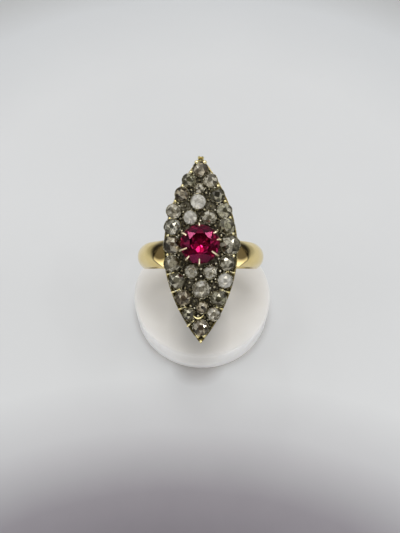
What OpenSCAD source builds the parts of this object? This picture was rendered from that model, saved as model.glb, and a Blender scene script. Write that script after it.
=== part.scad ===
// Navette cluster ring, leaning forward on a bent clip that stands in a round display base.
// Millimetres, +Z up. The origin is the centre of the base's underside, and -Y is the front.

/* [Stand] */
// Diameter of the round base
stand_d = 25; // [22:0.5:32]
// Thickness of the round base
stand_h = 5.8; // [5:0.2:9]
// Chamfer round the base's upper edge
stand_chamfer = 0.35; // [0.1:0.05:0.8]

/* [Clip] */
// Width of the clip's strip
clip_w = 5; // [3:0.5:6.5]
// Thickness of the clip's strip
clip_t = 1; // [0.8:0.1:1.4]
// Room between the back of the shank and the inside of the clip's bend
ring_room = 1.05; // [0.6:0.05:2]
// How far the clip's bend sinks into the base
clip_sink = 1; // [0.5:0.1:1.4]
// Distance of the clip's axis behind the middle of the base
clip_back = 1.7; // [0:0.1:3]
// Angle of the clip's free end forward of its top
clip_reach = 60; // [45:1:70]
// Length of the tab that holds the clip in the base
tab_h = 2.5; // [1.5:0.1:3]
// Thickness of that tab
tab_t = 1.6; // [1:0.1:2.4]

/* [Ring] */
// Diameter of the finger hole
finger_d = 17.3; // [15.5:0.1:19]
// Forward lean of the ring from upright, in degrees
lean = 28; // [20:1:34]
// Sideways place of the clip and the ring on the base
ring_x = -0.3; // [-1.5:0.1:1.5]

/* [Shank] */
// Width of the shank at its shoulders
shank_w = 3.9; // [3:0.1:5]
// Width of the shank at its back
shank_back_w = 2.6; // [2:0.1:3.6]
// Thickness of the shank along its middle
shank_t = 1.65; // [1.3:0.05:2]
// Thickness of the shank along its edges
shank_edge_t = 0.5; // [0.3:0.05:0.8]
// How far the shank sits forward of the head's middle
shank_forward = 0.3; // [0:0.1:0.6]

/* [Head] */
// Length of the head from tip to tip
head_l = 26.9; // [24:0.1:30]
// Width of the head at its middle
head_w = 10.6; // [9.6:0.1:12]
// Depth that the gallery's lower rail is let into the shank
gallery_sink = 0.15; // [0.1:0.05:0.3]
// Height of the setting's underside above the shank
setting_lift = 0.6; // [0.5:0.05:1.2]
// Height of each gallery rail
rail_h = 0.5; // [0.3:0.05:0.6]
// Width of each gallery rail
rail_w = 0.7; // [0.5:0.05:0.9]
// Diameter of the gallery's pillars
pillar_d = 0.55; // [0.4:0.05:0.7]
// Diameter of the grains on the two tips
tip_grain_d = 0.6; // [0.4:0.05:0.8]

/* [Setting] */
// Thickness of the silver plate between the stones
plate_t = 0.45; // [0.3:0.05:0.6]
// Height of the collets above the silver plate
collet_rise = 0.3; // [0.15:0.05:0.4]
// Wall of each collet
collet_wall = 0.14; // [0.1:0.02:0.2]
// Least silver under a diamond
floor_t = 0.14; // [0.1:0.02:0.2]
// Gap round each stone in its seat
stone_gap = 0.04; // [0.02:0.01:0.06]

/* [Ruby] */
// Diameter of the ruby
ruby_d = 5.6; // [4.8:0.1:5.8]
// Height of the ruby's culet above the shank
culet_lift = 0.25; // [0.15:0.05:0.5]
// Diameter of the ruby's claws
claw_d = 0.36; // [0.28:0.02:0.42]

/* [Hidden] */
DIAMONDS = 28;

GOLD = [0.80, 0.68, 0.36];
PALE_GOLD = [0.84, 0.76, 0.55];
OLD_SILVER = [0.36, 0.34, 0.30];
FROSTED = [0.93, 0.93, 0.92];
CLEAR = [0.88, 0.91, 0.92, 0.6];
RUBY_RED = [0.72, 0.04, 0.24];
DIAMOND_GREY = [0.74, 0.73, 0.68];

// Smallest clearance between the clip and what it touches
fit_gap = 0.05;
// Clearance between the strip's edges and the top of the finger hole that rests on them
seat_gap = 0.1;
// How far a cut runs on past the surface that it opens
OVER = 1;

finger_r = finger_d / 2;
shank_r = finger_r + shank_t;
clip_r = (finger_d + shank_t + clip_t + ring_room) / 2;
clip_tail = 15;
clip_axis = [ring_x, clip_back, stand_h - clip_sink + clip_r];
face_normal = [0, -sin(lean), cos(lean)];
seat_r = sqrt(pow(finger_r, 2) - pow(clip_w / 2, 2));
ring_centre = clip_axis + (clip_r + seat_gap - seat_r) * face_normal;

half_l = head_l / 2;
half_w = head_w / 2;
// How far the lower rail lies inside the upper one
RAIL_STEP = 0.2;
rail_mid = half_w - RAIL_STEP - rail_w / 2;

// The head's levels, from the ring's centre along the face's normal. The lower rail crosses the
// shank at its own middle line.
gallery_z = sqrt(pow(shank_r, 2) - pow(rail_mid, 2)) - gallery_sink;
deck_z = shank_r + setting_lift;
plate_z = deck_z + plate_t;
collet_z = plate_z + collet_rise;

// The head's outline is a belly arc on each side and four flank arcs, each tangent to the belly at
// the shoulder, given by two shares, and ending on a tip.
SHOULDER_ALONG = 0.39;
SHOULDER_ACROSS = 0.85;
shoulder = [SHOULDER_ACROSS * half_w, SHOULDER_ALONG * half_l];
belly_r = arc_radius(2 * shoulder[1], half_w - shoulder[0]);
shoulder_out = (shoulder + [belly_r - half_w, 0]) / belly_r;
to_shoulder = shoulder - [0, half_l];
flank_r = to_shoulder * to_shoulder / (2 * shoulder_out * to_shoulder);
flank_c = shoulder - flank_r * shoulder_out;

// Columns of the tables of stones and grains
ALONG = 0;
ACROSS = 1;
SIZE = 2;
// One row for each diamond, from the far tip to the near one: its place along the head as a share
// of the half length, its place across as a share of the half width, and its diameter in stone units
STONES = [
    [0.85, -0.01, 0.37],
    [0.73, -0.32, 0.32],
    [0.73, 0.26, 0.34],
    [0.64, -0.04, 0.23],
    [0.58, -0.50, 0.35],
    [0.57, 0.44, 0.37],
    [0.50, -0.07, 0.39],
    [0.40, -0.73, 0.35],
    [0.40, 0.64, 0.36],
    [0.33, -0.28, 0.34],
    [0.33, 0.24, 0.33],
    [0.23, -0.76, 0.40],
    [0.24, 0.70, 0.39],
    [0.04, -0.76, 0.45],
    [0.04, 0.79, 0.49],
    [-0.16, -0.76, 0.41],
    [-0.15, 0.71, 0.37],
    [-0.24, -0.25, 0.32],
    [-0.25, 0.25, 0.32],
    [-0.34, -0.64, 0.38],
    [-0.34, 0.65, 0.37],
    [-0.43, 0.02, 0.44],
    [-0.52, -0.47, 0.37],
    [-0.53, 0.47, 0.38],
    [-0.62, 0.04, 0.28],
    [-0.69, -0.32, 0.29],
    [-0.69, 0.34, 0.31],
    [-0.83, 0.00, 0.39],
];
// A stone unit is the half width, or less where the head is short for its width
SLENDER = 0.4;
stone_unit = min(half_w, SLENDER * half_l);

// Proportions of the cut. Heights and depths are shares of the diameter, and the table and the
// culet are shares of the radius.
// Mains round a stone
FOLD = 8;
// Where the stars meet the halves, as a share of the way from the end face to the girdle
BREAK = 0.55;
// Half height of the girdle's belt, as a share of the radius
GIRDLE = 0.02;
// Crown height, depth, table and culet of the diamonds, and of the ruby
ROSE = [0.30, 0.16, 0.48, 0.62];
ROUND = [0.16, 0.35, 0.56, 0.06];
// Turn from one diamond to the next, in degrees
TURN = 137;
CROWN_H = 0;
DEPTH = 1;
TABLE = 2;
CULET = 3;

largest_stone = stone_unit * max([for (s = STONES) s[SIZE]]);
girdle_z = deck_z + floor_t + stone_gap + ROSE[DEPTH] * largest_stone;

ruby_r = ruby_d / 2;
// The ruby's place, in the same shares as a diamond's
RUBY = [0.04, -0.02];
ruby_belt = GIRDLE * ruby_r;
ruby_depth = ROUND[DEPTH] * ruby_d;
ruby_z = shank_r + culet_lift + ruby_depth;
ruby_top_z = ruby_z + ROUND[CROWN_H] * ruby_d;
// The claws' places round the ruby, in degrees from the head's right side
CLAW_ANGLES = [13, 37, 92, 148, 199, 229, 268, 327];
// Where the claws end, as a share of the way over the star facets to the table
CLAW_END = 0.45;
// A claw's end and the balls at its bends, as shares of its radius
CLAW_TAPER = 0.65;
CLAW_BALL = 1.04;
// Depth of the ruby's seat, as a share of its depth below the girdle
SEAT_SHARE = 0.2;
// Radius of the hole under the ruby, as a share of the ruby's
HOLE_SHARE = 0.6;
// Wall of the ruby's collet at its top, and at its foot
CUP_WALL = 0.28;
CUP_FOOT_WALL = 0.56;
claw_r = claw_d / 2;
cup_top_z = ruby_z - mix(ruby_belt, ruby_depth, SEAT_SHARE);
cup_top_r = ruby_r * lower_share(SEAT_SHARE, ROUND[CULET]) + stone_gap;
cup_foot_r = HOLE_SHARE * ruby_r;

// The pillars' places along each side, as shares of the half length
PILLARS = [-0.78, -0.6, -0.43, -0.25, -0.06, 0.14, 0.32, 0.49, 0.65, 0.8];
// Where the solid tips begin, below the setting and beside it, as shares of the half length
TIP_START = 0.9;
TIP_BLOCK = 0.945;
// Places of the grains on a tip, along it from its end and across it, in grain diameters
GRAINS = [[0.5, 0], [0.88, -0.85], [0.88, 0.85]];
// Height of a grain's middle above the plate, in grain diameters
GRAIN_LIFT = 0.125;

function arc_radius(chord, rise) = (chord * chord / 4 + rise * rise) / (2 * rise);
function diamond_name(i) = str("diamond_", i < 10 ? "0" : "", i);
function mix(a, b, t) = a + (b - a) * t;
// Where the belly arc ends, and the half width at a place along the head, for an outline drawn in
function belly_end(inset) = shoulder[1] - inset * shoulder_out[1];
function rim_x(along, inset) =
    abs(along) < belly_end(inset) ? sqrt(pow(belly_r - inset, 2) - along * along) - belly_r + half_w
        : flank_c[0] + sqrt(pow(flank_r - inset, 2) - pow(abs(along) - flank_c[1], 2));
function stone_place(s) = [s[ACROSS] * half_w, s[ALONG] * half_l, girdle_z];
function stone_r(s) = s[SIZE] * stone_unit / 2;

// Widest radius of a stone below its girdle, as a share of its radius, at a share of its depth
function break_share(end) = mix(end, 1, BREAK) / cos(180 / FOLD);
function lower_share(t, culet) =
    t < 1 - BREAK ? mix(1, break_share(culet), t / (1 - BREAK))
                  : mix(break_share(culet), culet, (t - 1 + BREAK) / BREAK);

function ring_of(count, r, z, turn) =
    [for (i = [0:count - 1]) [r * cos(360 * i / count + turn), r * sin(360 * i / count + turn), z]];
function flipped(face) = [for (i = [len(face) - 1:-1:0]) face[i]];

// Facets between an end face and the girdle, seen from outside: stars, mains and halves.
// a, m and g are where the points of the end face, of the break and of the girdle begin.
function facets(a, m, g) = [
    for (i = [0:FOLD - 1])
        let (next = (i + 1) % FOLD, back = (i + FOLD - 1) % FOLD)
        let (g0 = g + 2 * i, g1 = g0 + 1, g2 = g + 2 * next)
        each [[a + i, m + i, a + next], [a + i, g0, m + i], [a + i, m + back, g0],
              [m + i, g0, g1], [m + i, g1, g2]]
];

// A cut stone with its girdle on z = 0: a flat table, FOLD mains above and below, and a flat culet
module cut_stone(d, cut) {
    r = d / 2;
    belt = GIRDLE * d / 2;
    top = cut[CROWN_H] * d;
    low = cut[DEPTH] * d;
    half = 180 / FOLD;
    points = concat(
        ring_of(FOLD, cut[TABLE] * r, top, 0),
        ring_of(FOLD, break_share(cut[TABLE]) * r, mix(top, belt, BREAK), half),
        ring_of(2 * FOLD, r, belt, 0),
        ring_of(2 * FOLD, r, -belt, 0),
        ring_of(FOLD, break_share(cut[CULET]) * r, mix(-low, -belt, BREAK), half),
        ring_of(FOLD, cut[CULET] * r, -low, 0));
    upper = concat([[for (i = [0:FOLD - 1]) i]], facets(0, FOLD, 2 * FOLD));
    lower = concat([[for (i = [0:FOLD - 1]) 7 * FOLD + i]], facets(7 * FOLD, 6 * FOLD, 4 * FOLD));
    belt_faces = [
        for (j = [0:2 * FOLD - 1])
            let (k = (j + 1) % (2 * FOLD), g = 2 * FOLD, h = 4 * FOLD)
            each [[g + j, h + j, h + k], [g + j, h + k, g + k]]
    ];
    polyhedron(points, concat([for (f = concat(upper, belt_faces)) flipped(f)], lower));
}

// Puts its children in the ring's own frame: +Y is the finger's axis and +Z the face's normal
module ring_place() {
    translate(ring_centre) rotate([lean, 0, 0]) children();
}

// Puts its children on the ruby's axis, in the ring's own frame
module ruby_spot() {
    translate([RUBY[ACROSS] * half_w, RUBY[ALONG] * half_l, 0]) children();
}

// Puts its children in the clip's bend: X points up from its axis, and Y to the front
module clip_place() {
    translate(clip_axis) rotate([180, -90, 0]) children();
}

// The head's outline, drawn in by a distance
module navette(inset) {
    end = belly_end(inset);
    intersection() {
        intersection_for (s = [-1, 1])
            translate([s * (belly_r - half_w), 0]) circle(r = belly_r - inset, $fn = 180);
        square([2 * head_w, 2 * end], center = true);
    }
    for (t = [-1, 1])
        intersection() {
            intersection_for (s = [-1, 1])
                translate([s * flank_c[0], t * flank_c[1]]) circle(r = flank_r - inset, $fn = 180);
            translate([0, t * (end + half_l / 2)]) square([2 * head_w, half_l], center = true);
        }
}

module navette_wall(outer, width, low, high) {
    translate([0, 0, low])
        linear_extrude(high - low)
            difference() {
                navette(outer);
                navette(outer + width);
            }
}

module stand_base() {
    slot = [clip_w + 2 * fit_gap, tab_t + 2 * fit_gap, tab_h + clip_sink + fit_gap + OVER];
    color(FROSTED)
        difference() {
            union() {
                cylinder(d = stand_d, h = stand_h - stand_chamfer, $fn = 120);
                translate([0, 0, stand_h - stand_chamfer])
                    cylinder(d1 = stand_d, d2 = stand_d - 2 * stand_chamfer, h = stand_chamfer, $fn = 120);
            }
            clip_place()
                cylinder(r = clip_r + fit_gap, h = clip_w + 2 * fit_gap, center = true, $fn = 120);
            translate([ring_x, clip_back, stand_h - clip_sink - tab_h - fit_gap + slot[2] / 2])
                cube(slot, center = true);
        }
}

module stand_clip() {
    color(CLEAR)
        union() {
            clip_place()
                rotate([0, 0, -180 - clip_tail])
                    rotate_extrude(angle = clip_reach + 180 + clip_tail, $fn = 120)
                        translate([clip_r - clip_t, -clip_w / 2])
                            square([clip_t, clip_w]);
            translate([ring_x - clip_w / 2, clip_back - tab_t / 2, stand_h - clip_sink - tab_h])
                cube([clip_w, tab_t, tab_h + clip_t / 2]);
        }
}

// Half-round band, domed outside and narrowing towards the back
module shank() {
    dome_r = arc_radius(shank_w, shank_t - shank_edge_t);
    end_z = shank_r + OVER;
    intersection() {
        rotate([90, 0, 0])
            rotate_extrude($fn = 120)
                intersection() {
                    translate([shank_r - dome_r, 0]) circle(r = dome_r, $fn = 60);
                    translate([finger_r, -shank_w / 2]) square([shank_t, shank_w]);
                }
        rotate([90, 0, 90])
            linear_extrude(2 * end_z, center = true)
                polygon([[-shank_w / 2, end_z], [-shank_w / 2, 0], [-shank_back_w / 2, -end_z],
                         [shank_back_w / 2, -end_z], [shank_w / 2, 0], [shank_w / 2, end_z]]);
    }
}

module pillars() {
    inset = RAIL_STEP + rail_w / 2;
    for (side = [-1, 1], share = PILLARS)
        translate([side * rim_x(share * half_l, inset), share * half_l, gallery_z + rail_h / 2])
            cylinder(d = pillar_d, h = deck_z - gallery_z - rail_h, $fn = 20);
}

// Solid end of the gallery with three grains on it, at the far tip
module tip() {
    intersection() {
        translate([0, 0, gallery_z]) linear_extrude(plate_z - gallery_z) navette(RAIL_STEP / 2);
        union() {
            translate([-half_w, TIP_START * half_l, gallery_z])
                cube([head_w, half_l, deck_z - gallery_z]);
            translate([-half_w, TIP_BLOCK * half_l, gallery_z])
                cube([head_w, half_l, plate_z - gallery_z + OVER]);
        }
    }
    for (g = GRAINS)
        translate([g[ACROSS] * tip_grain_d, half_l - g[ALONG] * tip_grain_d, plate_z + GRAIN_LIFT * tip_grain_d])
            sphere(d = tip_grain_d, $fn = 24);
}

module gold_mount() {
    color(GOLD)
        ring_place()
            union() {
                translate([0, -shank_forward, 0]) shank();
                navette_wall(RAIL_STEP, rail_w, gallery_z, gallery_z + rail_h);
                navette_wall(0, rail_w, deck_z - rail_h, deck_z);
                pillars();
                tip();
                rotate([0, 0, 180]) tip();
            }
}

module silver_setting() {
    plate_inset = rail_w - collet_wall;
    collet_h = collet_z - deck_z;
    color(OLD_SILVER)
        ring_place()
            difference() {
                union() {
                    translate([0, 0, deck_z]) linear_extrude(plate_t) navette(plate_inset);
                    for (s = STONES)
                        translate(stone_place(s) - [0, 0, girdle_z - deck_z])
                            cylinder(r = stone_r(s) + stone_gap + collet_wall, h = collet_h, $fn = 40);
                }
                for (s = STONES)
                    translate(stone_place(s) - [0, 0, 2 * ROSE[DEPTH] * stone_r(s) + stone_gap])
                        cylinder(r = stone_r(s) + stone_gap, h = collet_z, $fn = 40);
                ruby_spot() cylinder(r = cup_foot_r, h = 2 * collet_z, $fn = 60);
            }
}

// A round bar between two points of the upright plane through one claw, with radii at its ends
module bar(from, to, r1, r2) {
    run = to - from;
    translate([from[0], 0, from[1]])
        rotate([0, atan2(run[0], run[1]), 0])
            cylinder(r1 = r1, r2 = r2, h = norm(run), $fn = 20);
}

// A ball at a point of the same plane
module ball(at, r) {
    translate([at[0], 0, at[1]]) sphere(r = r, $fn = 20);
}

// One claw on the +X side: out from the collet's foot, up past the girdle and in over the crown
module claw() {
    clear = claw_r + stone_gap;
    side = ruby_r + clear;
    brink = [break_share(ROUND[TABLE]) * ruby_r, mix(ruby_top_z, ruby_z + ruby_belt, BREAK)];
    star = [ROUND[TABLE] * cos(180 / FOLD) * ruby_r, ruby_top_z] - brink;
    over_brink = brink + clear * [star[1], -star[0]] / norm(star);
    foot = [cup_foot_r + CUP_FOOT_WALL - claw_r / 2, plate_z + claw_r];
    knee = [side, cup_top_z];
    elbow = over_brink + star * (side - over_brink[0]) / star[0];
    end = over_brink + CLAW_END * star;
    bar(foot, knee, claw_r, claw_r);
    bar(knee, elbow, claw_r, claw_r);
    bar(elbow, end, claw_r, CLAW_TAPER * claw_r);
    ball(knee, CLAW_BALL * claw_r);
    ball(elbow, CLAW_BALL * claw_r);
    ball(end, CLAW_BALL * CLAW_TAPER * claw_r);
}

module ruby_claws() {
    color(PALE_GOLD)
        ring_place()
            ruby_spot()
                union() {
                    rotate_extrude($fn = 80)
                        polygon([[cup_foot_r, plate_z], [cup_foot_r + CUP_FOOT_WALL, plate_z],
                                 [cup_top_r + CUP_WALL, cup_top_z], [cup_top_r, cup_top_z]]);
                    for (a = CLAW_ANGLES) rotate([0, 0, a]) claw();
                }
}

module ruby() {
    color(RUBY_RED)
        ring_place()
            ruby_spot()
                translate([0, 0, ruby_z])
                    rotate([0, 0, 180 / FOLD])
                        cut_stone(ruby_d, ROUND);
}

module diamond(i) {
    s = STONES[i - 1];
    color(DIAMOND_GREY)
        ring_place()
            translate(stone_place(s))
                rotate([0, 0, TURN * i])
                    cut_stone(2 * stone_r(s), ROSE);
}

stand_base();
stand_clip();
gold_mount();
silver_setting();
ruby_claws();
ruby();
for (i = [1:DIAMONDS]) diamond(i);
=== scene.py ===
"""Looks of the navette ring and its round stand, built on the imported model.

The model's frame is in metres. Most pieces are worked out in millimetres in the ring's own frame, where
+Y is the finger's axis and +Z the normal of the head's face, and are placed from there.
"""
import math
import random

import bmesh
import bpy
from mathutils import Matrix, Vector


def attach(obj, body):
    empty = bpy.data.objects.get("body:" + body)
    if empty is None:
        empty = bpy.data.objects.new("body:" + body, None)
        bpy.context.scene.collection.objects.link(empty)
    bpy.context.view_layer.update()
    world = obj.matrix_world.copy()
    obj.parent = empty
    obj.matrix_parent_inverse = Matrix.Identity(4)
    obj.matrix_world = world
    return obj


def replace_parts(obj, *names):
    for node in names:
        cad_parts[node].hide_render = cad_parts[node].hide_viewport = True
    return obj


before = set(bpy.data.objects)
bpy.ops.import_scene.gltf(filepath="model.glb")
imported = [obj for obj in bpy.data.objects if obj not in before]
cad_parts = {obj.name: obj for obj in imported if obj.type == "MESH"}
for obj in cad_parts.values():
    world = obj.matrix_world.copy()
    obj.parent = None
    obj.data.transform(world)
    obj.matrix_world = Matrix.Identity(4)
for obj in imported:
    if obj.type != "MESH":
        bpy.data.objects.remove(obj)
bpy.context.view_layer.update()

# Units and the ring's place, as in the model
MM = 0.001
LEAN = math.radians(28)
RING_CENTRE = Vector((-0.3, 0.611, 17.348))
RING = Matrix.Scale(MM, 4) @ Matrix.Translation(RING_CENTRE) @ Matrix.Rotation(LEAN, 4, "X")
WORLD = Matrix.Scale(MM, 4)

# Shank, in millimetres
FINGER_R = 8.65
SHANK_R = 10.3
SHANK_W = 3.9
SHANK_BACK_W = 2.6
SHANK_EDGE_T = 0.5
SHANK_ROUND = 0.16
SHANK_FORWARD = 0.3
# Shoulder facets: a point and the taper of the edge of those along the sides, how much narrower the
# back one is, and the edge and the end of the one that faces the head
FACET_X = 8.93
FACET_Y = 1.48
FACET_TAPER = 0.30
FACET_BACK = 0.55
FACET_SLOPE = 1.1
HOLLOW_X = 6.95
HOLLOW_SKEW = 0.66
HOLLOW_SLOPE = 0.95
HOLLOW_END = 4.8
HOLLOW_END_SLOPE = 1.2
FACET_ROUND = 0.1
# Steps of the band's mesh: degrees round it, plain and at the shoulders, where those lie, counted from the
# crest, and half the number of steps across it
SHANK_STEP = 1.0
SHANK_FINE_STEP = 0.3
SHANK_FINE_FROM = 25
SHANK_FINE_TO = 62
SHANK_ACROSS = 14
# Painted shade on the shoulders next to the head, standing in for the head's dark reflection there
HEAD_SHADE_PLACE = (6.1, -0.2, 7.9)
HEAD_SHADE_REACH = 2.0

# Head, in millimetres: its outline, and its levels from the ring's centre
HALF_L = 13.45
HALF_W = 5.3
SHOULDER = (0.85 * HALF_W, 0.39 * HALF_L)
GALLERY_Z = 8.99
DECK_Z = 10.9
PLATE_Z = 11.35
COLLET_Z = 11.65
GIRDLE_Z = 11.496
RAIL_H = 0.5
RAIL_W = 0.7
RAIL_STEP = 0.2
# Upper rail: the lip at its rim, how far that stands over the deck, and the groove behind it
LIP_T = 0.17
LIP_RISE = 0.08
GROOVE_END = 0.54
GROOVE_DEPTH = 0.42
# Pillars: their radius at the ends and the waist as shares of their width, how far they reach into the
# rails and over what height they flare, and their places as shares of half the head's length
PILLAR_D = 0.55
PILLAR_END = 0.62
PILLAR_WAIST = 0.45
PILLAR_SINK = 0.05
PILLAR_FLARE = 0.1
PILLARS = (-0.78, -0.6, -0.43, -0.25, -0.06, 0.14, 0.32, 0.49, 0.65, 0.8)
TIP_START = 0.9
TIP_BLOCK = 0.945
STONE_GAP = 0.04
COLLET_WALL = 0.14
# Gold grains on the far and the near tip: place across, distance from the tip, radius and stretch upwards
FAR_GRAINS = ((-0.22, 0.30, 0.25, 1.8), (0.25, 0.34, 0.25, 1.8), (-0.58, 1.0, 0.35, 1.0),
              (0.56, 1.0, 0.35, 1.0), (0.0, 0.95, 0.19, 1.0))
NEAR_GRAINS = ((0.0, 0.32, 0.23, 1.2), (-0.42, 1.1, 0.32, 1.0), (0.46, 1.14, 0.32, 1.0))
GRAIN_LIFT = 0.04
# Bars between the border stones of the near part, nubs between the others
BAR_PART = -0.1
BAR_RADII = (0.13, 0.15, 0.15)
NUB_R = 0.24

# Ruby's setting: the share of the stone's height below its girdle, of that up to the collet's top, and the
# collet's inner radius at its foot and top as shares of the stone's
PAVILION = 0.686
COLLET_REACH = 0.8
COLLET_FOOT = 0.6
COLLET_TOP = 0.834
# Each claw's angle, and how far it reaches over the stone
CLAWS = ((13, 0.30), (37, 0.35), (92, 0.25), (148, 0.50),
         (199, 0.80), (229, 0.45), (268, 0.60), (327, 0.75))
CLAW_R = 0.17
CLAW_TIP = 0.78

# Stand, in millimetres
STAND_R = 12.5
STAND_H = 5.8
STAND_CHAMFER = 0.35
CLIP_AXIS = Vector((-0.3, 1.7, 15.3))
CLIP_R = 10.5
CLIP_W = 5.0
CLIP_T = 1.0
CLIP_REACH = math.radians(60)
CLIP_TAIL = math.radians(15)
TAB_T = 1.6
TAB_H = 2.5
TAB_RISE = 0.5
CLIP_ROUND = 0.18
CLIP_TAPER = 0.55
FIT_GAP = 0.05

# Bright curved rim between the stones by the near tip: its middle and radius
BARE_RIM = (-0.35, -9.05, 0.82)

# Diamonds: how far they spread over their collets, the lip rubbed over each, and the foil below it, with
# the depth and floor of its cup as shares of the stone's radius
STONE_SPREAD = 0.09
LIP_W = 0.09
FOIL_T = 0.008
CUP_DEPTH = 0.32
CUP_FLOOR = 0.66
# Small grains between the stones: smallest and largest radius, how far apart places are tried
GRAIN_MIN = 0.10
GRAIN_MAX = 0.22
SPOT_STEP = 0.09

# Soft shades in metres, each a middle and a reach: on the floor in front, over the back and the middle of
# the disc's top, at the disc's foot, and on the floor all round
SHADE_MIDDLE = (-0.004, -0.064, 0)
SHADE_REACH = (0.075, 0.050, 1)
DISC_BACK = (-0.0017, 0.0107, 0.0058)
DISC_BACK_REACH = (0.0183, 0.0183, 0.0183)
DISC_CORE = (-0.0005, -0.0055, 0.0058)
DISC_CORE_REACH = (0.0057, 0.016, 0.0057)
FOOT_SHADE = (-0.0008, -0.0125, 0)
FOOT_REACH = (0.005, 0.0036, 1)
POOL_MIDDLE = (0, 0.02, 0)
POOL_REACH = (0.14, 0.14, 1)

# Light, with places in metres
WORLD_STRENGTH = 0.95
SOFTBOX_POWER = 0.33
CARD_POWER = 0.12
LAMP_POWER = 0.06
LAMP_SIZE = 0.028
LAMP_AIM = (0, 0, 0.02)
LAMPS = ((-0.20, 0.03, 0.42), (-0.10, 0.27, 0.36), (0.26, -0.04, 0.34), (0.05, -0.03, 0.47))
FLASH_POWER = 0.032
FLASH_LAMPS = ((0.25, 0.138, 0.398), (-0.25, 0.138, 0.398))

# Camera at the photograph's place, in millimetres, with its tilt below the level
CAMERA_PLACE = (-0.40, -44.10, 86.80)
CAMERA_TILT = math.radians(58.5)
CAMERA_LENS = 33.77


def arc_radius(chord, rise):
    return (chord * chord / 4 + rise * rise) / (2 * rise)


BELLY_R = arc_radius(2 * SHOULDER[1], HALF_W - SHOULDER[0])
OUT = ((SHOULDER[0] + BELLY_R - HALF_W) / BELLY_R, SHOULDER[1] / BELLY_R)
TO_SHOULDER = (SHOULDER[0], SHOULDER[1] - HALF_L)
FLANK_R = (TO_SHOULDER[0] ** 2 + TO_SHOULDER[1] ** 2) / (
    2 * (OUT[0] * TO_SHOULDER[0] + OUT[1] * TO_SHOULDER[1]))
FLANK_C = (SHOULDER[0] - FLANK_R * OUT[0], SHOULDER[1] - FLANK_R * OUT[1])


def rim_x(along, inset=0.0):
    """Half width of the head at a place along it, for an outline drawn in by inset."""
    along = abs(along)
    if along < SHOULDER[1] - inset * OUT[1]:
        return math.sqrt((BELLY_R - inset) ** 2 - along**2) - BELLY_R + HALF_W
    return FLANK_C[0] + math.sqrt((FLANK_R - inset) ** 2 - (along - FLANK_C[1]) ** 2)


def tip_y(inset=0.0):
    return FLANK_C[1] + math.sqrt((FLANK_R - inset) ** 2 - FLANK_C[0] ** 2)


def outline(inset, z, count=120):
    """Loop of points round the head's outline, drawn in by inset."""
    tip = tip_y(inset)
    ys = [tip * math.cos(math.pi * i / count) for i in range(count + 1)]
    right = [Vector((max(rim_x(y, inset), 0.0), y, z)) for y in ys]
    left = [Vector((-p.x, p.y, z)) for p in reversed(right[1:-1])]
    return right + left


class Shape:
    """Points and faces of a piece, collected before it becomes a mesh."""

    def __init__(self):
        self.points = []
        self.faces = []

    def loft(self, loops, join_ends=False):
        """Skin over closed loops of equal length. Ends are capped unless the last joins the first."""
        first = len(self.points)
        n = len(loops[0])
        for loop in loops:
            self.points.extend(loop)
        pairs = [(i, i + 1) for i in range(len(loops) - 1)]
        if join_ends:
            pairs.append((len(loops) - 1, 0))
        for a, b in pairs:
            low, high = first + a * n, first + b * n
            for i in range(n):
                j = (i + 1) % n
                self.faces.append((low + i, low + j, high + j, high + i))
        if not join_ends:
            last = first + (len(loops) - 1) * n
            self.faces.append(tuple(range(first + n - 1, first - 1, -1)))
            self.faces.append(tuple(range(last, last + n)))

    def tube(self, path, radii, sides=12):
        """Round bar along a path, with a radius at each point."""
        path = [Vector(p) for p in path]
        side = Vector((0.3, 0.9, 0.2))
        loops = []
        for i, point in enumerate(path):
            run = (path[min(i + 1, len(path) - 1)] - path[max(i - 1, 0)]).normalized()
            side = (side - run * side.dot(run)).normalized()
            other = run.cross(side)
            ways = [math.cos(a) * side + math.sin(a) * other for a in turns(sides)]
            loops.append([point + radii[i] * way for way in ways])
        self.loft(loops)

    def ball(self, centre, radius, stretch=1.0, sides=14):
        """Ball, or a pointed grain where it is stretched upwards."""
        centre = Vector(centre)
        loops = []
        for k in range(1, 8):
            polar = math.pi * k / 8
            r, z = radius * math.sin(polar), -radius * math.cos(polar)
            z *= stretch if z > 0 else 1
            loops.append([centre + Vector((r * math.cos(a), r * math.sin(a), z)) for a in turns(sides)])
        self.loft(loops)

    def lathe(self, profile, centre=(0, 0), sides=48, wobble=None):
        """Closed profile of (radius, height) turned round an upright axis."""
        loops = []
        for r, z in profile:
            loop = []
            for a in turns(sides):
                far = r + (wobble(a) if wobble else 0.0)
                loop.append(Vector((centre[0] + far * math.cos(a), centre[1] + far * math.sin(a), z)))
            loops.append(loop)
        self.loft(loops, join_ends=True)

    def cut_faces(self, fold, end, middle, girdle):
        """Facets of a cut stone from its end face to its girdle: stars, mains and halves."""
        self.faces.append(tuple(range(end, end + fold)))
        for i in range(fold):
            after, back = (i + 1) % fold, (i - 1) % fold
            g0, g1, g2 = girdle + 2 * i, girdle + 2 * i + 1, girdle + 2 * after
            self.faces += [(end + i, middle + i, end + after), (end + i, g0, middle + i),
                           (end + i, middle + back, g0), (middle + i, g0, g1), (middle + i, g1, g2)]

    def piece(self, name, place, material, smooth_deg=40, bevel=0.0):
        """Makes the object, rounds its edges and lets it ride on the part."""
        mesh = bpy.data.meshes.new(name)
        mesh.from_pydata([place @ p for p in self.points], [], self.faces)
        bm = bmesh.new()
        bm.from_mesh(mesh)
        bmesh.ops.remove_doubles(bm, verts=bm.verts, dist=1e-7)
        bmesh.ops.recalc_face_normals(bm, faces=bm.faces)
        bm.to_mesh(mesh)
        bm.free()
        mesh.materials.append(material)
        obj = bpy.data.objects.new(name, mesh)
        bpy.context.scene.collection.objects.link(obj)
        if bevel:
            m = obj.modifiers.new("rounded_edges", "BEVEL")
            m.width = bevel * MM
            m.segments = 2
            m.limit_method = "ANGLE"
            m.angle_limit = math.radians(50)
        smooth(mesh, smooth_deg)
        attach(obj, "root")
        return obj


def turns(count):
    return [2 * math.pi * i / count for i in range(count)]


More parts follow.
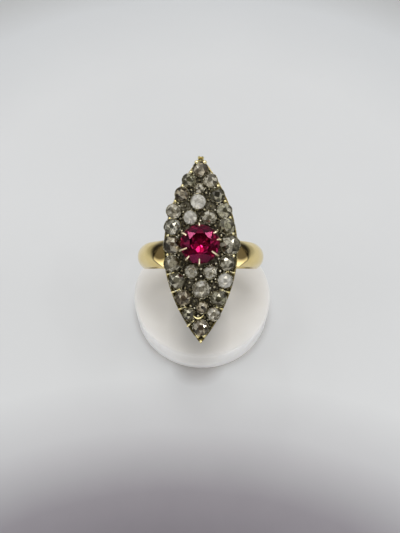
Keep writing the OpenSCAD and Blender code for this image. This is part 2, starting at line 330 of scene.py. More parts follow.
def quarter_turn(steps):
    return [math.pi / 2 * i / steps for i in range(steps + 1)]


def rectangle(half_x, half_y):
    return [(-half_x, -half_y), (half_x, -half_y), (half_x, half_y), (-half_x, half_y)]


def smooth(mesh, degrees):
    mesh.polygons.foreach_set("use_smooth", [True] * len(mesh.polygons))
    mesh.set_sharp_from_angle(angle=math.radians(degrees))
    mesh.update()


def in_ring(point):
    """A point of the model, in metres, as millimetres in the ring's own frame."""
    return RING.inverted() @ point


def stone_seats():
    """Centre, radius and name of each diamond, in the ring's frame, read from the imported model."""
    seats = []
    for name, obj in sorted(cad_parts.items()):
        if name.startswith("diamond_"):
            points = [in_ring(v.co) for v in obj.data.vertices]
            xs, ys = [p.x for p in points], [p.y for p in points]
            x, y = (min(xs) + max(xs)) / 2, (min(ys) + max(ys)) / 2
            seats.append((x, y, (max(xs) - min(xs)) / 2, name))
    return seats


def ruby_middle():
    points = [in_ring(v.co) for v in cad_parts["ruby"].data.vertices]
    xs, ys, zs = [p.x for p in points], [p.y for p in points], [p.z for p in points]
    radius = (max(xs) - min(xs)) / 2
    return (min(xs) + max(xs)) / 2, (min(ys) + max(ys)) / 2, radius, min(zs), max(zs)


SEATS = stone_seats()
RUBY_X, RUBY_Y, RUBY_R, RUBY_LOW, RUBY_TOP = ruby_middle()


# Materials


class NodeTree:
    """Nodes and links, and short ways to add colour nodes to them."""

    def __init__(self, tree):
        self.nodes = tree.nodes
        self.links = tree.links

    def ramp(self, fac, *stops):
        """Colour ramp from (place, colour) stops."""
        r = self.nodes.new("ShaderNodeValToRGB")
        elements = r.color_ramp.elements
        while len(elements) < len(stops):
            elements.new(0.5)
        for element, (place, colour) in zip(elements, stops):
            element.position = place
            element.color = (*colour, 1)
        self.links.new(fac, r.inputs["Fac"])
        return r.outputs["Color"]

    def mix(self, fac, a, b, blend="MIX"):
        """Two colours mixed, each from a socket or a tuple, by a socket or a plain number."""
        m = self.nodes.new("ShaderNodeMix")
        m.data_type = "RGBA"
        m.blend_type = blend
        if isinstance(fac, float):
            m.inputs["Factor"].default_value = fac
        else:
            self.links.new(fac, m.inputs["Factor"])
        for socket, value in ((m.inputs["A"], a), (m.inputs["B"], b)):
            if isinstance(value, tuple):
                socket.default_value = (*value, 1)
            else:
                self.links.new(value, socket)
        return m.outputs["Result"]

    def product(self, colour, *others):
        for other in others:
            colour = self.mix(1.0, colour, other, "MULTIPLY")
        return colour


class Surface(NodeTree):
    """A material and short ways to add nodes to it."""

    def __init__(self, name):
        self.material = bpy.data.materials.new(name)
        self.material.use_nodes = True
        super().__init__(self.material.node_tree)
        self.shader = self.nodes["Principled BSDF"]
        self.coordinates = self.nodes.new("ShaderNodeTexCoord").outputs["Object"]

    def set(self, **values):
        for key, value in values.items():
            self.shader.inputs[key.replace("_", " ")].default_value = value
        return self

    def link(self, output, socket):
        self.links.new(output, self.shader.inputs[socket])

    def noise(self, size_mm, detail=3.0, rough=0.5, stretch=(1, 1, 1), distortion=0.0):
        """Noise whose lumps are about size_mm across."""
        mapping = self.nodes.new("ShaderNodeMapping")
        mapping.inputs["Scale"].default_value = stretch
        self.links.new(self.coordinates, mapping.inputs["Vector"])
        n = self.nodes.new("ShaderNodeTexNoise")
        n.inputs["Scale"].default_value = 1 / (size_mm * MM)
        n.inputs["Detail"].default_value = detail
        n.inputs["Roughness"].default_value = rough
        n.inputs["Distortion"].default_value = distortion
        self.links.new(mapping.outputs["Vector"], n.inputs["Vector"])
        return n.outputs["Fac"]

    def span(self, fac, low, high):
        """The middle of a noise's range spread between two values."""
        m = self.nodes.new("ShaderNodeMapRange")
        m.inputs["From Min"].default_value = 0.3
        m.inputs["From Max"].default_value = 0.7
        m.inputs["To Min"].default_value = low
        m.inputs["To Max"].default_value = high
        self.links.new(fac, m.inputs["Value"])
        return m.outputs["Result"]

    def facet_tone(self):
        """A value from 0 to 1 that differs from facet to facet, found from the way each one faces."""
        snap = self.nodes.new("ShaderNodeVectorMath")
        snap.operation = "SNAP"
        snap.inputs[1].default_value = (0.02, 0.02, 0.02)
        self.links.new(self.nodes.new("ShaderNodeNewGeometry").outputs["True Normal"], snap.inputs[0])
        chance = self.nodes.new("ShaderNodeTexWhiteNoise")
        self.links.new(snap.outputs["Vector"], chance.inputs["Vector"])
        return chance.outputs["Value"]

    def patch(self, middle, reach):
        """1 at a place, falling to 0 at a reach round it, both in metres."""
        place = self.nodes.new("ShaderNodeMapping")
        place.vector_type = "TEXTURE"
        place.inputs["Location"].default_value = middle
        place.inputs["Scale"].default_value = reach
        self.links.new(self.coordinates, place.inputs["Vector"])
        fall = self.nodes.new("ShaderNodeTexGradient")
        fall.gradient_type = "SPHERICAL"
        self.links.new(place.outputs["Vector"], fall.inputs["Vector"])
        return fall.outputs["Fac"]

    def height(self, low_mm, high_mm, low=0.0, high=1.0):
        """One value below a height and another above a second one."""
        split = self.nodes.new("ShaderNodeSeparateXYZ")
        self.links.new(self.coordinates, split.inputs["Vector"])
        m = self.nodes.new("ShaderNodeMapRange")
        m.inputs["From Min"].default_value = low_mm * MM
        m.inputs["From Max"].default_value = high_mm * MM
        m.inputs["To Min"].default_value = low
        m.inputs["To Max"].default_value = high
        self.links.new(split.outputs["Z"], m.inputs["Value"])
        return m.outputs["Result"]

    def bump(self, *layers):
        """Relief from (height, depth in mm, strength) layers."""
        normal = None
        for height, depth_mm, strength in layers:
            b = self.nodes.new("ShaderNodeBump")
            b.inputs["Distance"].default_value = depth_mm * MM
            b.inputs["Strength"].default_value = strength
            self.links.new(height, b.inputs["Height"])
            if normal:
                self.links.new(normal, b.inputs["Normal"])
            normal = b.outputs["Normal"]
        self.link(normal, "Normal")

    def crevice(self, reach_mm):
        """1 on open surfaces and less in corners: used for oxide in the silver's hollows and for painted shade
        on gold and on the floor.
        """
        ao = self.nodes.new("ShaderNodeAmbientOcclusion")
        ao.samples = 6
        ao.inputs["Distance"].default_value = reach_mm * MM
        return ao.outputs["AO"]


def polished_gold():
    """Gold of the band, with painted shade on the shoulders next to the head."""
    s = Surface("polished_gold").set(Metallic=1.0, Specular_IOR_Level=0.5)
    tone = s.noise(2.5, 2)
    clean = s.ramp(tone, (0.3, (0.82, 0.65, 0.28)), (0.7, (0.88, 0.73, 0.38)))
    # Painted shade: each shoulder darkened next to the head, where the head's dark reflection falls
    for side in (-1, 1):
        corner = s.patch(RING @ Vector((side * HEAD_SHADE_PLACE[0], *HEAD_SHADE_PLACE[1:])), (HEAD_SHADE_REACH * MM,) * 3)
        clean = s.product(clean, s.ramp(corner, (0.05, (1, 1, 1)), (0.45, (0.10, 0.09, 0.08))))
    s.link(clean, "Base Color")
    wear = s.noise(0.5, 5, 0.6)
    s.link(s.span(wear, 0.10, 0.24), "Roughness")
    scratches = s.noise(0.12, 4, 0.7, stretch=(1, 6, 1))
    s.bump((s.noise(3.0, 2), 0.05, 0.4), (scratches, 0.002, 0.35))
    return s.material


def gallery_gold():
    """Gold of the head's side, with painted shade in its corners."""
    s = Surface("gallery_gold").set(Metallic=1.0)
    tone = s.noise(1.2, 3)
    clean = s.ramp(tone, (0.3, (0.40, 0.31, 0.10)), (0.5, (0.62, 0.50, 0.19)), (0.7, (0.84, 0.74, 0.42)))
    # Painted shade: the corners darkened where little light reaches them
    open_part = s.ramp(s.crevice(0.6), (0.30, (0, 0, 0)), (0.68, (1, 1, 1)))
    s.link(s.mix(open_part, (0.03, 0.022, 0.01), clean), "Base Color")
    s.link(s.span(s.noise(0.25, 4, 0.6), 0.16, 0.36), "Roughness")
    s.bump((s.noise(0.5, 3), 0.02, 0.5), (s.noise(0.08, 3), 0.004, 0.4))
    return s.material


def bright_gold(name, dark, light):
    """Gold of small rubbed parts."""
    s = Surface(name).set(Metallic=1.0)
    s.link(s.ramp(s.noise(0.8, 3), (0.3, dark), (0.7, light)), "Base Color")
    s.link(s.span(s.noise(0.2, 4), 0.10, 0.26), "Roughness")
    s.bump((s.noise(0.3, 3), 0.008, 0.5))
    return s.material


def old_silver():
    """Oxidised silver: nearly black in the corners and worn on its open parts."""
    s = Surface("old_silver").set(Metallic=1.0)
    worn = s.ramp(s.noise(0.35, 4, 0.6), (0.40, (0.05, 0.043, 0.028)), (0.65, (0.24, 0.22, 0.16)))
    open_part = s.ramp(s.crevice(0.35), (0.45, (0, 0, 0)), (0.9, (1, 1, 1)))
    s.link(s.mix(open_part, (0.015, 0.012, 0.008), worn), "Base Color")
    s.link(s.span(s.noise(0.15, 4), 0.22, 0.5), "Roughness")
    s.bump((s.noise(0.25, 4, 0.6), 0.03, 0.8), (s.noise(0.07, 3), 0.006, 0.5))
    return s.material


def worn_rim():
    """Silver lips and grains, rubbed bright with a gold cast."""
    s = Surface("worn_rim").set(Metallic=1.0)
    worn = s.ramp(s.noise(0.4, 4, 0.6), (0.44, (0.10, 0.085, 0.045)), (0.54, (0.45, 0.40, 0.25)),
                  (0.62, (0.95, 0.92, 0.78)))
    open_part = s.ramp(s.crevice(0.25), (0.4, (0, 0, 0)), (0.85, (1, 1, 1)))
    s.link(s.mix(open_part, (0.06, 0.045, 0.025), worn), "Base Color")
    s.link(s.span(s.noise(0.12, 4), 0.14, 0.36), "Roughness")
    s.bump((s.noise(0.18, 4, 0.6), 0.02, 0.7))
    return s.material


def bright_foil():
    """Silver leaf, crumpled and a little tarnished."""
    s = Surface("bright_foil").set(Metallic=1.0)
    leaf = s.ramp(s.noise(0.5, 4, 0.6), (0.35, (0.50, 0.46, 0.38)), (0.65, (0.92, 0.91, 0.88)))
    s.link(leaf, "Base Color")
    s.link(s.span(s.noise(0.3, 3), 0.15, 0.40), "Roughness")
    s.bump((s.noise(0.35, 3), 0.05, 0.8))
    return s.material


def diamond(name, dark, body, light, haze=(0.17, 0.145, 0.085)):
    """Old-cut diamond over foil: each facet painted a tone between dark and light that stands in for its
    reflections, with clouds and worn edges.
    """
    s = Surface(name).set(IOR=2.3, Transmission_Weight=0.55, Specular_Tint=(0.93, 0.88, 0.74, 1))
    # Painted reflections: each facet gets a dark, middle or light tone at random
    tone = s.ramp(s.facet_tone(), (0.30, dark), (0.40, body), (0.62, body), (0.74, light))
    clouds = s.ramp(s.noise(0.62, 3, 0.5, distortion=0.8), (0.42, haze), (0.53, (1, 0.99, 0.93)))
    s.link(s.mix(s.span(s.noise(1.3, 2), 0.65, 1.0), tone, clouds, "MULTIPLY"), "Base Color")
    s.link(s.span(s.noise(0.3, 4), 0.01, 0.07), "Roughness")
    s.bump((s.noise(0.5, 2), 0.006, 0.4))
    return s.material


def ruby_glass():
    """Ruby with painted light and dark facets, and painted shade that makes it darkest at its girdle."""
    s = Surface("ruby_glass").set(
        IOR=1.77, Transmission_Weight=1.0, Specular_IOR_Level=0.2, Specular_Tint=(0.52, 0.08, 0.22, 1))
    # Painted reflections: each facet gets a dark, middle or bright tone at random
    tone = s.ramp(s.facet_tone(), (0.3, (0.12, 0.001, 0.011)), (0.6, (0.45, 0.005, 0.072)),
                  (0.9, (0.88, 0.035, 0.23)))
    # Painted shade: darker away from the stone's middle, towards its girdle
    middle = RING @ Vector((RUBY_X, RUBY_Y, (RUBY_LOW + RUBY_TOP) / 2))
    girdle_shade = s.ramp(s.patch(middle, (1.15 * RUBY_R * MM,) * 3), (0.12, (0.55, 0.50, 0.52)), (0.6, (1, 1, 1)))
    s.link(s.product(tone, girdle_shade), "Base Color")
    s.link(s.span(s.noise(0.5, 4), 0.0, 0.03), "Roughness")
    s.bump((s.noise(1.0, 2), 0.004, 0.3))
    return s.material


def frosted_acrylic():
    """Frosted white plastic with the head's soft shade painted on top and a faint painted glow at the foot of
    its side, standing in for light through the plastic.
    """
    s = Surface("frosted_acrylic").set(
        IOR=1.49, Subsurface_Weight=1.0, Subsurface_Radius=(1.0, 0.98, 0.94), Subsurface_Scale=5 * MM,
        Emission_Color=(1.0, 0.98, 0.96, 1))
    # Painted light: a faint emission low on the side, standing in for light that passes through the plastic
    s.link(s.height(0.6, 2.8, 0.15, 0.0), "Emission Strength")
    pale = s.ramp(s.noise(6.0, 3), (0.3, (0.93, 0.92, 0.895)), (0.7, (0.97, 0.96, 0.94)))
    back = s.ramp(s.patch(DISC_BACK, DISC_BACK_REACH), (0.0, (0.80, 0.79, 0.78)), (0.2, (0.71, 0.70, 0.69)))
    core = s.ramp(s.patch(DISC_CORE, DISC_CORE_REACH), (0.0, (1, 1, 1)), (1.0, (0.55, 0.55, 0.55)))
    body = s.mix(s.height(STAND_H - STAND_CHAMFER, STAND_H - 0.05), pale, s.product(pale, back))
    s.link(s.product(body, core), "Base Color")
    s.link(s.span(s.noise(0.6, 4), 0.34, 0.5), "Roughness")
    s.bump((s.noise(0.09, 4, 0.6), 0.004, 0.5))
    return s.material


def clear_acrylic():
    s = Surface("clear_acrylic").set(IOR=1.49, Transmission_Weight=1.0)
    s.link(s.ramp(s.noise(4.0, 2), (0.3, (0.90, 0.93, 0.94)), (0.7, (0.97, 0.98, 0.98))), "Base Color")
    s.link(s.span(s.noise(0.7, 4), 0.03, 0.16), "Roughness")
    s.bump((s.noise(0.3, 4), 0.003, 0.4))
    return s.material


def pale_floor():
    """Pale board with the soft shades of the viewer in front, of the disc's foot and of the room round it."""
    s = Surface("pale_floor")
    board = s.ramp(s.noise(60.0, 2), (0.3, (0.655, 0.665, 0.675)), (0.7, (0.675, 0.685, 0.695)))
    # Painted contact shade on the floor round the disc's foot
    contact = s.ramp(s.crevice(2.0), (0.40, (0.75, 0.73, 0.71)), (0.85, (1, 1, 1)))
    shade = s.ramp(s.patch(SHADE_MIDDLE, SHADE_REACH), (0.0, (1, 1, 1)), (0.18, (0.82, 0.81, 0.82)),
                   (0.38, (0.41, 0.38, 0.41)), (0.50, (0.315, 0.285, 0.315)))
    pool = s.ramp(s.patch(POOL_MIDDLE, POOL_REACH), (0.0, (0.60, 0.60, 0.595)), (0.26, (0.70, 0.70, 0.695)),
                  (0.4, (0.91, 0.92, 0.93)), (0.62, (1, 1, 1)))
    foot = s.ramp(s.patch(FOOT_SHADE, FOOT_REACH), (0.0, (1, 1, 1)), (0.6, (0.74, 0.72, 0.71)))
    s.link(s.product(board, contact, foot, pool, shade), "Base Color")
    s.link(s.span(s.noise(4.0, 3), 0.75, 0.9), "Roughness")
    return s.material


GOLD = polished_gold()
GALLERY_GOLD = gallery_gold()
CLAW_GOLD = bright_gold("claw_gold", (0.84, 0.70, 0.44), (0.93, 0.83, 0.62))
BEAD_GOLD = bright_gold("bead_gold", (0.88, 0.76, 0.36), (0.97, 0.89, 0.55))
SILVER = old_silver()
RIM = worn_rim()
FOIL = bright_foil()
RUBY_GLASS = ruby_glass()
FROSTED = frosted_acrylic()
CLEAR = clear_acrylic()
DIAMONDS = {
    "white": diamond("diamond_white", (0.82, 0.81, 0.77), (0.98, 0.97, 0.94), (1.0, 1.0, 1.0),
                     (0.62, 0.60, 0.54)),
    "light": diamond("diamond_light", (0.38, 0.35, 0.28), (0.84, 0.81, 0.71), (0.99, 0.98, 0.95)),
    "pale": diamond("diamond_pale", (0.13, 0.11, 0.07), (0.50, 0.46, 0.35), (0.97, 0.94, 0.85)),
    "ice": diamond("diamond_ice", (0.09, 0.09, 0.07), (0.38, 0.37, 0.31), (0.92, 0.93, 0.90)),
    "grey": diamond("diamond_grey", (0.055, 0.05, 0.03), (0.27, 0.25, 0.18), (0.88, 0.85, 0.74)),
    "brown": diamond("diamond_brown", (0.03, 0.018, 0.008), (0.15, 0.105, 0.06), (0.70, 0.61, 0.45)),
    "olive": diamond("diamond_olive", (0.026, 0.024, 0.01), (0.14, 0.13, 0.065), (0.68, 0.66, 0.48)),
}
LOOKS = {
    "white": (7, 10, 21), "light": (18, 19, 22, 27), "pale": (3, 4, 8, 11, 16), "ice": (12,),
    "brown": (1, 5, 14, 23, 25, 28), "olive": (2, 6, 9, 13, 24, 26),
}


# Pieces


def paint(node, material):
    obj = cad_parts[node]
    obj.data.materials.clear()
    obj.data.materials.append(material)


def blended(a, b):
    """The larger of two heights, with a small round where they meet."""
    near = max(FACET_ROUND - abs(a - b), 0.0)
    return max(a, b) + near * near / (4 * FACET_ROUND)


def shank_top(x, y, dome_r):
    """Drop of the shank's outside below its crest: a dome, cut at each shoulder by a facet along either
    side and by one that faces the head."""
    x = abs(x)

    def dome(across):
        return dome_r - math.sqrt(dome_r**2 - across**2)

    edge = FACET_Y - FACET_TAPER * (FACET_X - x) + (FACET_BACK if y > 0 else 0)
    side = dome(min(edge, 0.49 * SHANK_W)) + FACET_SLOPE * (abs(y) - edge)
    inner = -blended(-HOLLOW_SLOPE * (HOLLOW_X - HOLLOW_SKEW * y - x), -HOLLOW_END_SLOPE * (x - HOLLOW_END))
    return blended(blended(dome(y), side), inner)


def shank_turns():
    """Angles round the shank, closest together at the shoulders."""
    angles = [0.0]
    while angles[-1] < 2 * math.pi - math.radians(1.2 * SHANK_STEP):
        off = abs(math.degrees(angles[-1]) - 90)
        fine = SHANK_FINE_FROM < off < SHANK_FINE_TO
        angles.append(angles[-1] + math.radians(SHANK_FINE_STEP if fine else SHANK_STEP))
    return angles


def make_shank():
    """Half-round band with faceted shoulders and softened edges, narrowing towards the back."""
    dome_r = arc_radius(SHANK_W, SHANK_R - FINGER_R - SHANK_EDGE_T)
    shape = Shape()
    loops = []
    for a in shank_turns():
        fall = max(0.0, -SHANK_R * math.sin(a)) / (SHANK_R + 1)
        half = (SHANK_W + (SHANK_BACK_W - SHANK_W) * fall) / 2
        x = SHANK_R * math.cos(a) if math.sin(a) > 0 else SHANK_R + 1
        steps = range(1 - SHANK_ACROSS, SHANK_ACROSS)
        across = [half * math.sin(math.pi / 2 * t / SHANK_ACROSS) for t in steps]
        profile = [(SHANK_R - shank_top(x, y, dome_r), y) for y in across]
        back_r, front_r = (SHANK_R - shank_top(x, y, dome_r) for y in (half, -half))
        low, soft = FINGER_R, min(SHANK_ROUND, 0.4 * (front_r - FINGER_R))
        profile += [(back_r - 0.3 * soft, half - 0.1 * soft), (back_r - soft, half),
                    (low + soft, half), (low + 0.3 * soft, half - 0.3 * soft), (low, half - soft)]
        profile += [(low, y) for y in (0.5 * half, 0, -0.5 * half)]
        profile += [(low, soft - half), (low + 0.3 * soft, 0.3 * soft - half), (low + soft, -half),
                    (front_r - soft, -half), (front_r - 0.3 * soft, 0.1 * soft - half)]
        loops.append([Vector((r * math.cos(a), y - SHANK_FORWARD, r * math.sin(a))) for r, y in profile])
    shape.loft(loops, join_ends=True)
    return shape.piece("ring_shank", RING, GOLD, smooth_deg=30)


def tip_points(start, inset, z):
    """Part of the outline beyond a place near the far tip."""
    return [p for p in outline(inset, z, 240) if p.y >= start]


def make_gallery():
    """Two rails, the pillars between them and the solid tips."""
    shape = Shape()
    low_top, high_foot = GALLERY_Z + RAIL_H, DECK_Z - RAIL_H
    low = [(RAIL_STEP, GALLERY_Z), (RAIL_STEP, low_top),
           (RAIL_STEP + RAIL_W, low_top), (RAIL_STEP + RAIL_W, GALLERY_Z)]
    lip_z, groove_z = DECK_Z + LIP_RISE, DECK_Z - GROOVE_DEPTH
    high = [(0, high_foot), (0, lip_z), (LIP_T, lip_z), (LIP_T, groove_z), (GROOVE_END, groove_z),
            (GROOVE_END, DECK_Z), (RAIL_W, DECK_Z), (RAIL_W, high_foot)]
    for profile in (low, high):
        shape.loft([outline(inset, z) for inset, z in profile], join_ends=True)
    middle = RAIL_STEP + RAIL_W / 2
    levels = [low_top - PILLAR_SINK, low_top + PILLAR_FLARE,
              high_foot - PILLAR_FLARE, high_foot + PILLAR_SINK]
    radii = [share * PILLAR_D for share in (PILLAR_END, PILLAR_WAIST, PILLAR_WAIST, PILLAR_END)]
    for share in PILLARS:
        y = share * HALF_L
        for side in (-1, 1):
            x = side * rim_x(y, middle)
            shape.tube([(x, y, z) for z in levels], radii, sides=16)
    for turn in (1, -1):
        for start, top in ((TIP_START, DECK_Z), (TIP_BLOCK, PLATE_Z)):
            flat = tip_points(start * HALF_L, RAIL_STEP / 2, 0)
            shape.loft([[Vector((turn * p.x, turn * p.y, z)) for p in flat] for z in (GALLERY_Z, top)])
    return shape.piece("gallery", RING, GALLERY_GOLD, bevel=0.05)


def stone_gaps():
    """Gaps between neighbouring border stones, as (middle, outward direction)."""
    border = {"left": [], "right": []}
    for x, y, r, _ in SEATS:
        edge = rim_x(y) - abs(x) - r
        if edge < 0.75 and abs(y) < 0.87 * HALF_L:
            border["right" if x > 0 else "left"].append((y, x, r))
    gaps = []
    for stones in border.values():
        stones.sort()
        for (y0, x0, r0), (y1, x1, r1) in zip(stones, stones[1:]):
            a, b = Vector((x0, y0)), Vector((x1, y1))
            run = (b - a).normalized()
            middle = a + run * (r0 + ((b - a).length - r0 - r1) / 2)
            out = Vector((run.y, -run.x))
            gaps.append((middle, out if out.x * middle.x > 0 else -out))
    return gaps


def make_tip_grains():
    """Gold grains on the tips and small bars and nubs where the border stones meet."""
    shape = Shape()
    for turn, grains in ((1, FAR_GRAINS), (-1, NEAR_GRAINS)):
        for x, back, r, stretch in grains:
            shape.ball((x, turn * (HALF_L - back), PLATE_Z + GRAIN_LIFT), r, stretch)
    for middle, out in stone_gaps():
        reach = rim_x(middle.y) - abs(middle.x)
        if middle.y < BAR_PART * HALF_L:
            near, far = middle + 0.1 * out, middle + (reach - 0.12) * out
            path = [(*near, COLLET_Z - 0.12), (*middle, COLLET_Z - 0.02), (*far, DECK_Z + 0.2)]
            shape.tube(path, BAR_RADII, sides=10)
        else:
            shape.ball((*(middle + 0.55 * reach * out), PLATE_Z + 0.12), NUB_R)
    return shape.piece("gold_grains", RING, BEAD_GOLD)


def make_foils():
    """Bright foil under each diamond, lining its closed cup."""
    shape = Shape()
    for x, y, r, _ in SEATS:
        low = GIRDLE_Z - CUP_DEPTH * r - 0.5 * STONE_GAP
        wide = r + 0.5 * STONE_GAP
        floor_r, back = CUP_FLOOR * r, wide + FOIL_T
        profile = [(0.01, low), (floor_r, low), (wide, GIRDLE_Z - 0.3 * r), (wide, GIRDLE_Z),
                   (back, GIRDLE_Z), (back, GIRDLE_Z - 0.31 * r), (floor_r, low - FOIL_T), (0.01, low - FOIL_T)]
        shape.lathe(profile, (x, y), 32)
    return shape.piece("stone_foils", RING, FOIL)


def make_stone(x, y, r, name, rng):
    """Old rose cut with a small table, its facets and girdle a little uneven. No two are alike."""
    wide = r + STONE_SPREAD
    fold = rng.choice((4, 5, 5, 6))
    rise = wide * rng.uniform(0.40, 0.50)
    drop = COLLET_Z - GIRDLE_Z + 0.28 * r
    turn = rng.uniform(0, 6.28)
    lean_x, lean_y = rng.uniform(-0.09, 0.09), rng.uniform(-0.09, 0.09)
    shift = Vector((rng.uniform(-0.06, 0.06), rng.uniform(-0.06, 0.06))) * wide
    shape = Shape()

    def ring(count, share, z, start, uneven, moved=0.0):
        """Corners at a share of the stone's width and a height over its collet."""
        for a in turns(count):
            far = share * wide * rng.uniform(1 - uneven, 1)
            angle = a + turn + start + rng.uniform(-2.5, 2.5) * uneven
            px, py = far * math.cos(angle) + moved * shift.x, far * math.sin(angle) + moved * shift.y
            shape.points.append(Vector((x + px, y + py, COLLET_Z + 0.02 + z + lean_x * px + lean_y * py)))

    # The table, the corners below it, both edges of the girdle, the corners below that and the end
    half = math.pi / fold
    ring(fold, rng.uniform(0.30, 0.50), rise, 0, 0.0, 1.0)
    ring(fold, 0.76, 0.60 * rise, half, 0.09, 0.5)
    ring(2 * fold, 1.0, 0.03, 0, 0.02)
    ring(2 * fold, 0.985, 0.0, 0, 0.0)
    ring(fold, 0.62, -0.6 * drop, half, 0.05)
    ring(fold, 0.30, -drop, 0, 0.0)
    shape.cut_faces(fold, 0, fold, 2 * fold)
    shape.cut_faces(fold, 7 * fold, 6 * fold, 4 * fold)
    for j in range(2 * fold):
        k = (j + 1) % (2 * fold)
        shape.faces.append((2 * fold + j, 4 * fold + j, 4 * fold + k, 2 * fold + k))
    number = int(name[-2:])
    look = next((kind for kind, stones in LOOKS.items() if number in stones), "grey")
    return shape.piece(f"rose_cut_{number:02d}", RING, DIAMONDS[look], smooth_deg=4)


def make_rims():
    """Thin lip rubbed over each stone, uneven as a hand-cut one is."""
    rng = random.Random(11)
    shape = Shape()
    for x, y, r, _ in SEATS:
        outer = r + STONE_GAP + COLLET_WALL
        inner = outer - LIP_W
        waves = [(rng.randint(3, 9), rng.uniform(0, 6.28), rng.uniform(0.004, 0.014)) for _ in range(3)]

        def wobble(a, waves=waves):
            return sum(size * math.sin(n * a + start) for n, start, size in waves)

        profile = [(outer, COLLET_Z - 0.1), (outer, COLLET_Z), (outer - 0.02, COLLET_Z + 0.05),
                   (outer - 0.05, COLLET_Z + 0.065), (inner, COLLET_Z + 0.04), (inner, COLLET_Z - 0.06)]
        shape.lathe(profile, (x, y), 56, wobble)
    return shape.piece("collet_rims", RING, RIM, smooth_deg=60)


def make_bare_rim():
    """Curved rim between the stones by the near tip, rubbed down to bright metal."""
    x, y, r = BARE_RIM
    shape = Shape()
    bend = [math.radians(200 + 140 * i / 16) for i in range(17)]
    path = [(x + r * math.cos(a), y + r * math.sin(a), COLLET_Z + 0.03) for a in bend]
    shape.tube(path, [0.06 + 0.09 * math.sin(math.pi * i / 16) for i in range(17)], sides=10)
    return shape.piece("bare_rim", RING, BEAD_GOLD)


def gap_spots():
    """Places between the stones with room for a grain, widest first, as (x, y, room)."""
    rows, columns = int(HALF_L / SPOT_STEP), int(HALF_W / SPOT_STEP)
    taken = [(x, y, r + STONE_GAP + COLLET_WALL) for x, y, r, _ in SEATS]
    taken.append((RUBY_X, RUBY_Y, RUBY_R + 0.25))
    spots = []
    for j in range(-rows, rows + 1):
        for i in range(-columns, columns + 1):
            x, y = i * SPOT_STEP, j * SPOT_STEP
            if abs(y) > 0.9 * HALF_L:
                continue
            room = min(math.hypot(x - a, y - b) - r for a, b, r in taken)
            room = min(room, rim_x(y) - 0.5 - abs(x))
            if room > 0.03:
                spots.append((room, x, y))
    found = []
    for room, x, y in sorted(spots, reverse=True):
        if all(math.hypot(x - a, y - b) > 0.95 * (room + other) + 0.1 for a, b, other in found):
            found.append((x, y, room))
    return found


def make_grains():
    """Small bright silver grains raised between the stones."""
    rng = random.Random(5)
    shape = Shape()
    for x, y, room in gap_spots():
        r = min(GRAIN_MAX, max(GRAIN_MIN, 0.8 * room + 0.02))
        lift = rng.uniform(0.10, 0.30)
        place = (x + rng.uniform(-0.03, 0.03), y + rng.uniform(-0.03, 0.03), PLATE_Z + lift)
        shape.ball(place, r, rng.uniform(0.9, 1.3))
    return shape.piece("silver_grains", RING, RIM)


def make_claws():
    """Collet and claws of the ruby, each claw a tapered wire bent over the crown."""
    shape = Shape()
    foot_r, top_r = COLLET_FOOT * RUBY_R, COLLET_TOP * RUBY_R + STONE_GAP
    top_z = RUBY_LOW + COLLET_REACH * (RUBY_TOP - RUBY_LOW) * PAVILION
    wall = [(foot_r, PLATE_Z), (foot_r + 0.56, PLATE_Z), (top_r + 0.3, top_z - 0.06), (top_r + 0.24, top_z),
            (top_r + 0.05, top_z), (top_r, top_z - 0.05)]
    shape.lathe(wall, (RUBY_X, RUBY_Y), 96)
    side = RUBY_R + (CLAW_R + 0.03)
    bend_z = RUBY_TOP - 0.36
    radii = [CLAW_R] * 5 + [0.95 * CLAW_R, CLAW_TIP * CLAW_R]
    for angle, reach in CLAWS:
        turn = math.radians(angle)
        path = [(foot_r + 0.45, PLATE_Z + 0.15), (side - 0.12, top_z - 0.1), (side, top_z + 0.25),
                (side, RUBY_TOP - 0.72), (side - 0.10, RUBY_TOP - 0.52), (side - 0.30, bend_z),
                (side - 0.20 - reach, bend_z + 0.36 * (reach - 0.1))]
        points = [Vector((RUBY_X + r * math.cos(turn), RUBY_Y + r * math.sin(turn), z)) for r, z in path]
        shape.tube(points, radii, sides=14)
        shape.ball(points[-1], CLAW_TIP * CLAW_R)
    return shape.piece("ruby_claw_setting", RING, CLAW_GOLD, smooth_deg=55)


def cut_away(obj, *cutters):
    """Cuts closed shapes out of a piece and removes them."""
    for i, cutter in enumerate(cutters):
        m = obj.modifiers.new(f"cut_{i}", "BOOLEAN")
        m.operation = "DIFFERENCE"
        m.solver = "EXACT"
        m.object = cutter
    bpy.context.view_layer.objects.active = obj
    for m in list(obj.modifiers):
        bpy.ops.object.modifier_apply(modifier=m.name)
    for cutter in cutters:
        bpy.data.objects.remove(cutter)


def in_clip(r, across, turn):
    """A point of the clip's bend: turn is the angle forward of its top."""
    x, y, z = CLIP_AXIS
    return Vector((x + across, y - r * math.sin(turn), z + r * math.cos(turn)))


def round_clip(corners, z):
    """Corners placed round the clip's axis, at a height."""
    return [Vector((CLIP_AXIS.x + x, CLIP_AXIS.y + y, z)) for x, y in corners]


